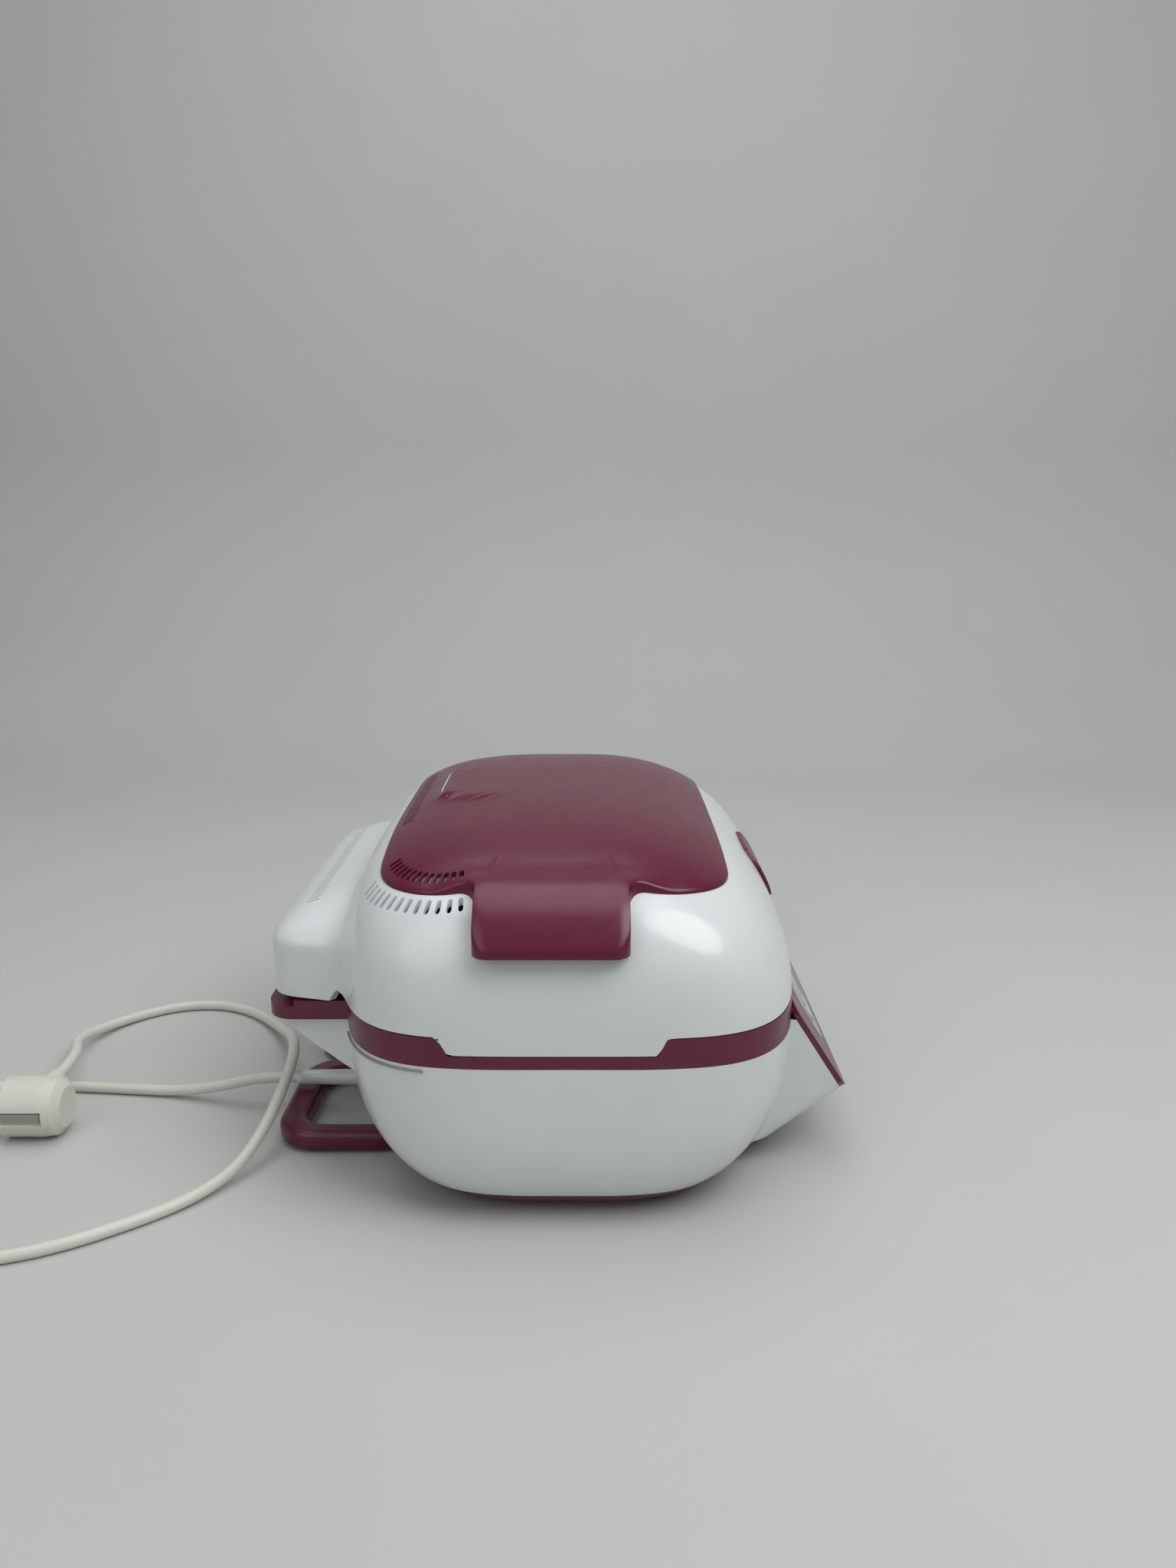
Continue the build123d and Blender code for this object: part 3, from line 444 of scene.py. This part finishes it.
CORD_POINTS = [
    (-52, 171, 21),
    (-52, 196, 21),
    (-47, 222, 12),
    (-40, 252, 4.6),
    (-35, 290, 3.6),
    (-31, 332, 3.6),
    (-30, 376, 3.6),
    (-46, 414, 3.6),
    (-80, 438, 3.6),
    (-122, 442, 3.6),
    (-163, 426, 3.6),
    (-197, 394, 3.6),
    (-217, 352, 3.6),
    (-224, 308, 3.6),
    (-213, 268, 3.6),
    (-191, 234, 3.6),
    (-166, 205, 3.8),
    (-140, 187, 7),
    (-115, 177, 18),
    (-88, 172, 30),
    (-57, 172, 36.5),
    (-26, 179, 35),
    (4, 190, 25),
    (34, 201, 13),
    (66, 218, 5),
    (91, 241, 3.6),
    (104, 270, 3.6),
    (100, 302, 3.6),
    (80, 329, 3.6),
    (50, 346, 6.5),
    (16, 346, 14.5),
    (-14, 331, 18.5),
    (-46, 331, 18.5),
]


class CAKE_OT_cord(bpy.types.Operator):
    """Lays the mains cord on one smooth spline, from its sleeve out past the view's edge to the plug."""

    bl_idname = "cake.cord"
    bl_label = "Mains cord"

    def execute(self, context):
        diameter = context.scene.cake_sizes.cord_diameter
        curve = bpy.data.curves.new("mains_flex", "CURVE")
        curve.dimensions = "3D"
        spline = curve.splines.new("NURBS")
        spline.points.add(len(CORD_POINTS) - 1)
        points = np.ones((len(CORD_POINTS), 4))
        points[:, :3] = np.array(CORD_POINTS) * MM
        spline.points.foreach_set("co", points.ravel())
        spline.order_u = 3
        spline.use_endpoint_u = True
        spline.resolution_u = 12
        curve.bevel_depth = diameter / 2
        curve.bevel_resolution = 6
        curve.use_fill_caps = True
        flex = bpy.data.objects.new("mains_flex", curve)
        context.collection.objects.link(flex)
        flex.data.materials.append(cord_sheath(context.scene.cake_colours.cord))
        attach(flex, "base")
        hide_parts("mains_cord")
        return {"FINISHED"}


def cord_sheath(colour):
    """Soft extruded PVC: satin, with a coarser grain and a more uneven gloss than the mouldings."""
    return moulded_plastic(
        "extruded_pvc_sheath", colour, "#CFCDC2", 0.42, grain_mm=1.2, grain_depth=0.03, wear=0.12
    )


class CAKE_OT_finishes(bpy.types.Operator):
    """Gives each CAD node the finish of the real piece."""

    bl_idname = "cake.finishes"
    bl_label = "Finishes"

    def execute(self, context):
        colours = context.scene.cake_colours
        white = glossy_white(context)
        red = satin_red(context)
        grey = moulded_plastic("grey_abs", "#A9ABAD", "#9C9EA0", 0.3)
        keycap = moulded_plastic("silver_keycap_abs", "#C3C5C7", "#B8BABC", 0.28)
        lens = moulded_plastic("smoked_acrylic", "#15171A", "#101214", 0.08, coat=0.5)
        sheath = cord_sheath(colours.cord)
        rubber = moulded_plastic("black_rubber", "#1B1B1C", "#161617", 0.7)
        enamel = moulded_plastic(
            "non_stick_coating", "#26262A", "#202024", 0.45, grain_mm=0.5, grain_depth=0.03
        )
        board = moulded_plastic("solder_resist", "#1E5A34", "#184C2B", 0.35)
        aluminium = metal("rolled_aluminium", "#C9CACC", 0.35, brush_mm=1.2)
        steel = metal("drawn_steel", "#B4B3B0", 0.3, brush_mm=0.9)
        element = metal("scaled_heater_sheath", "#6F6A66", 0.5, dark="#35302D")
        brass = metal("nickel_plated_brass", "#C9C3B0", 0.25)
        dress(white, "lower_housing", "cord_gland")
        dress(red, "base_pan", "belt_moulding", "storage_loops", "front_plate")
        dress(grey, "control_insert", "display_module", "button_switches", "power_relays")
        dress(keycap, "button_program", "button_minus", "button_plus", "button_start")
        dress(lens, "display_window")
        dress(sheath, "plug_body")
        dress(rubber, "rubber_feet")
        dress(enamel, "cooking_well", "lid_liner")
        dress(board, "control_board", "power_board")
        dress(aluminium, "heat_shield", "thermal_fuse")
        dress(steel, "mould_rack", "hinge_brackets", "bracket_screws", "hinge_pins", "corner_keepers")
        dress(steel, "heater_clips", "lid_thermostat", "plug_earth")
        dress(element, "lower_heater", "upper_heater")
        dress(brass, "plug_pins", "well_probe")
        return {"FINISHED"}


COVER_HALF = 160.0
COVER_BACK = 100.0
COVER_FRONT = -98.0
COVER_ROUND = 48.0
COVER_RISE = 2.0
GRIP_HALF = 196.0
GRIP_MID = 1.0
GRIP_SIDE = 41.0
GRIP_ROUND = 9.0
GRIP_TOP = 191.6
GRIP_FALL = 29.5
GRIP_START = 151
LIP_FOOT = 158.5
EDGE_ROUND = 1.6
HOUSING_START = (126, 132)
COVER_VENT_RADIUS = 39.5
SHELL_VENT_RADIUS = 54.0
VENT_WIDTH = 2.7
SLIT_WIDTH = 1.8
SLIT_PITCH = 5.6


def rounded_outline(corners, count):
    """Closed outline through rounded corners (x, y, radius), evenly spaced along its length."""
    parts = []
    for before, here, after in zip(corners[-1:] + corners[:-1], corners, corners[1:] + corners[:1]):
        point = np.array(here[:2])
        arriving = np.array(before[:2]) - point
        leaving = np.array(after[:2]) - point
        arriving = arriving / np.linalg.norm(arriving)
        leaving = leaving / np.linalg.norm(leaving)
        half = math.acos(float(np.clip(arriving @ leaving, -1, 1))) / 2
        bisector = (arriving + leaving) / np.linalg.norm(arriving + leaving)
        centre = point + bisector * here[2] / math.sin(half)
        start = point + arriving * here[2] / math.tan(half) - centre
        end = point + leaving * here[2] / math.tan(half) - centre
        first = math.atan2(start[1], start[0])
        sweep = (math.atan2(end[1], end[0]) - first + math.pi) % (2 * math.pi) - math.pi
        arc = first + np.linspace(0, sweep, 24)
        parts.append(centre + here[2] * np.stack([np.cos(arc), np.sin(arc)], -1))
    loop = np.concatenate(parts)
    loop = np.concatenate([loop, loop[:1]])
    run = np.concatenate([[0], np.cumsum(np.hypot(*np.diff(loop, axis=0).T))])
    even = np.linspace(0, run[-1], count, endpoint=False)
    return np.stack([np.interp(even, run, loop[:, 0]), np.interp(even, run, loop[:, 1])], -1)


def cover_outline(count):
    """Plan of the cover: a rounded rectangle with a grip at each side, its inner corners filleted."""
    right = [
        (COVER_HALF, COVER_FRONT, COVER_ROUND),
        (COVER_HALF, GRIP_MID - GRIP_SIDE, GRIP_ROUND),
        (GRIP_HALF, GRIP_MID - GRIP_SIDE, GRIP_ROUND),
        (GRIP_HALF, GRIP_MID + GRIP_SIDE, GRIP_ROUND),
        (COVER_HALF, GRIP_MID + GRIP_SIDE, GRIP_ROUND),
        (COVER_HALF, COVER_BACK, COVER_ROUND),
    ]
    left = [(-x, y, radius) for x, y, radius in reversed(right)]
    return rounded_outline(right + left, count)


def vent_places(radius, count=13, step=6.4):
    """Slots that point at the centre of each rear corner of the cover."""
    turn = np.radians(183 - step * np.arange(count))
    centre_x = -(COVER_HALF - COVER_ROUND)
    centre_y = COVER_BACK - COVER_ROUND
    left = np.stack([centre_x + radius * np.cos(turn), centre_y + radius * np.sin(turn), turn], -1)
    right = left * [-1, 1, -1]
    return np.concatenate([left, right])


def row_places(y, half, step=SLIT_PITCH):
    """Slots in a row from side to side, each pointing to the back."""
    x = np.arange(-half, half + 1, step)
    return np.stack([x, np.full(len(x), y), np.full(len(x), math.pi / 2)], -1)


class CAKE_OT_lid(bpy.types.Operator):
    """Forms the pale lid with the housing over its hinge, and the vents cut through them."""

    bl_idname = "cake.lid"
    bl_label = "Lid shell"

    def execute(self, context):
        material = glossy_white(context)
        angle = ring(360)[None]
        belt = lid_reach(angle, PARTING)
        side_y = BODY_MID + belt * np.sin(angle)
        tongue = smooth_step(-np.abs(side_y - TONGUE_MID), -TONGUE_HALF_TOP, -TONGUE_HALF_FOOT)
        tongue = tongue * (np.abs(np.cos(angle)) > 0.5)
        past_hinge = np.clip(side_y - HINGE_Y, 0, HINGE_ROUND)
        floor = HINGE_Z - np.sqrt(np.clip(HINGE_ROUND**2 - past_hinge**2, 0, None))
        rim = PARTING - TONGUE_DROP * tongue
        rim = rim + (floor - PARTING) * smooth_step(side_y, *HOUSING_START)
        step = np.linspace(0, 1, 84)[:, None]
        climb = np.sin(step * math.pi / 2) ** 0.75
        climb = 1 - (1 - climb) ** 1.25
        shells = []
        for inset in (0, WALL):
            height = rim + (CROWN - inset - rim) * climb
            reach = lid_reach(angle, height, inset) * (step < 1)
            shells.append(plan_points(angle + 0 * height, reach, height))
        mesh = shell_mesh("lid", *shells)
        lid = piece("lid_shell_moulding", mesh, material, "lid", "white_plastic", "lid_shell")
        cutters = [
            slot_prisms(vent_places(COVER_VENT_RADIUS), 7.5, VENT_WIDTH, 150, 215),
            slot_prisms(vent_places(SHELL_VENT_RADIUS), 7.0, VENT_WIDTH, 150, 215),
            slot_prisms(row_places(147, 84), 7.5, SLIT_WIDTH, 140, 175),
            slot_prisms(row_places(111, 72.8), 6.5, SLIT_WIDTH, 165, 200),
        ]
        cut(lid, *cutters)
        return {"FINISHED"}


class CAKE_OT_cover(bpy.types.Operator):
    """Forms the dark red cover with its two finger grips and its vents."""

    bl_idname = "cake.cover"
    bl_label = "Lid cover"

    def execute(self, context):
        material = satin_red(context)
        outline = cover_outline(520)
        centre = np.array([0, GRIP_MID])
        inward = np.array([0, 0.4, 1.0, 1.8, 2.8, 4.5, 7, 10, 14, 19, 26, 34, 42, 52, 64, 78, 94, 112, 130])
        span = np.hypot(*(outline - centre).T)
        share = np.concatenate([1 - inward[:, None] / 150, np.zeros((1, 1))])
        share = np.clip(share, 0, 1) * np.ones((1, len(outline)))
        plan = centre + (outline - centre)[None] * share[..., None]
        x, y = plan[..., 0], plan[..., 1]
        dome = lid_height(x, y)
        reach = np.abs(x)
        out = (reach - GRIP_START) / (GRIP_HALF - GRIP_START)
        grip = GRIP_TOP - GRIP_FALL * np.clip(out, 0, 1.02) ** 2.45
        in_grip = smooth_step(-np.abs(y - GRIP_MID), -GRIP_SIDE - 26, -GRIP_SIDE + 6)
        in_grip = in_grip * smooth_step(reach, 116, 153)
        top = dome + COVER_RISE
        top = top + in_grip * np.clip(grip - top, 0, None)
        edge = (1 - share) * span
        top = top - 1.4 * (1 - np.sqrt(1 - np.clip(1 - edge / EDGE_ROUND, 0, 1) ** 2))
        under = np.maximum(dome - 0.6, np.where(reach > 180, LIP_FOOT, 0))
        pocket = (reach > 172) & (reach < 191) & (np.abs(y - GRIP_MID) < 36)
        under = np.where(pocket, np.maximum(top - 4.5, dome + 0.5), under)
        under = np.minimum(under, top - 0.8)
        outer = np.stack([x, y, top], -1)
        inner = np.stack([x, y, under], -1)
        mesh = shell_mesh("cover", outer, inner)
        cover = piece("lid_cover_moulding", mesh, material, "lid", "red_plastic", "lid_cover")
        cut(
            cover,
            slot_prisms(vent_places(COVER_VENT_RADIUS), 7.5, VENT_WIDTH, 150, 215),
            slot_prisms(row_places(91, 67.2), 8, SLIT_WIDTH, 170, 215),
        )
        return {"FINISHED"}


def glossy_white(context):
    """Glossy white ABS of the lid and the lower housing."""
    white = context.scene.cake_colours.white
    return moulded_plastic("glossy_white_abs", white, "#D6DADB", 0.22, coat=0.2)


def satin_red(context):
    """Satin dark red ABS of the cover, the belt and the pan."""
    return moulded_plastic("satin_dark_red_abs", context.scene.cake_colours.red, "#59082A", 0.3)


def backdrop_surface():
    """A sweep: flat floor, then a quarter circle of radius 0.5 m up into a wall, as a grid of points."""
    floor_run = np.linspace(-2.5, 0.9, 12)
    turn = np.radians(np.linspace(0, 90, 16))[1:]
    x = np.concatenate([floor_run, 0.9 + 0.5 * np.sin(turn), [1.4, 1.4]])
    z = np.concatenate([0 * floor_run, 0.5 - 0.5 * np.cos(turn), [1.2, 2.8]])
    y = np.linspace(-3.0, 3.0, 9)
    columns = (x[:, None], y[None], z[:, None])
    return np.stack([np.broadcast_to(column, (len(x), len(y))) for column in columns], -1)


def grid_mesh(name, points):
    """Open mesh from a grid of points (rows, columns, 3)."""
    rows, columns = points.shape[:2]
    index = np.arange(rows * columns).reshape(rows, columns)
    corners = [index[:-1, :-1], index[1:, :-1], index[1:, 1:], index[:-1, 1:]]
    quads = np.stack(corners, -1).reshape(-1, 4)
    mesh = bpy.data.meshes.new(name)
    mesh.from_pydata(points.reshape(-1, 3).tolist(), [], quads.tolist())
    mesh.polygons.foreach_set("use_smooth", np.ones(len(quads), bool))
    mesh.update()
    return mesh


BLOTCH_MM = 220
AMBIENT = 0.34


class CAKE_OT_stage(bpy.types.Operator):
    """Lays the pale sweep and hangs the soft lamps over it."""

    bl_idname = "cake.stage"
    bl_label = "Stage"

    def execute(self, context):
        scene = context.scene
        mesh = grid_mesh("sweep", backdrop_surface())
        sweep = bpy.data.objects.new("sweep", mesh)
        scene.collection.objects.link(sweep)
        material, tree = new_material("matt_paper_sweep")
        tone = blend(tree, noise(tree, BLOTCH_MM, 5.0), scene.cake_colours.floor, "#BBBDBB")
        shader = add_node(tree, "ShaderNodeBsdfPrincipled", [("Base Color", tone)], Roughness=0.75)
        finish_material(tree, shader)
        mesh.materials.append(material)
        lamps = (
            ("key", (-0.7, -1.0, 1.6), 1.4, 19.0),
            ("fill", (-1.3, 1.1, 1.2), 1.6, 6.0),
            ("top", (0.2, 0.1, 1.9), 1.8, 13.0),
        )
        for name, place, size, power in lamps:
            data = bpy.data.lights.new(name, "AREA")
            data.shape = "DISK"
            data.size = size
            data.energy = power
            lamp = bpy.data.objects.new(name, data)
            lamp.location = place
            aim = np.array([0, 0, 0.1]) - np.array(place)
            lamp.rotation_euler = (
                math.acos(-aim[2] / np.linalg.norm(aim)),
                0,
                math.atan2(aim[1], aim[0]) - math.radians(90),
            )
            scene.collection.objects.link(lamp)
        world = bpy.data.worlds.new("studio")
        world.use_nodes = True
        background = world.node_tree.nodes["Background"]
        background.inputs["Color"].default_value = linear("#DDE0E2")
        background.inputs["Strength"].default_value = AMBIENT
        scene.world = world
        scene.view_settings.view_transform = "Standard"
        return {"FINISHED"}


OPERATORS = (
    CAKE_OT_camera,
    CAKE_OT_cord,
    CAKE_OT_lid,
    CAKE_OT_cover,
    CAKE_OT_finishes,
    CAKE_OT_stage,
)


class CAKE_PT_panel(bpy.types.Panel):
    """Lists the steps that dress the cake maker."""

    bl_label = "Cake maker"
    bl_idname = "CAKE_PT_panel"
    bl_space_type = "VIEW_3D"
    bl_region_type = "UI"
    bl_category = "Cake maker"

    def draw(self, context):
        for group in (context.scene.cake_sizes, context.scene.cake_colours):
            for name in group.bl_rna.properties.keys():
                if name not in ("rna_type", "name"):
                    self.layout.prop(group, name)
        for operator in OPERATORS:
            self.layout.operator(operator.bl_idname)


CLASSES = (CakeMakerColours, CakeMakerSizes, *OPERATORS, CAKE_PT_panel)


def register():
    for cls in CLASSES:
        bpy.utils.register_class(cls)
    bpy.types.Scene.cake_colours = bpy.props.PointerProperty(type=CakeMakerColours)
    bpy.types.Scene.cake_sizes = bpy.props.PointerProperty(type=CakeMakerSizes)


def unregister():
    del bpy.types.Scene.cake_colours
    del bpy.types.Scene.cake_sizes
    for cls in reversed(CLASSES):
        bpy.utils.unregister_class(cls)


def main():
    register()
    for operator in OPERATORS:
        group, name = operator.bl_idname.split(".")
        getattr(getattr(bpy.ops, group), name)()


if __name__ == "__main__":
    main()
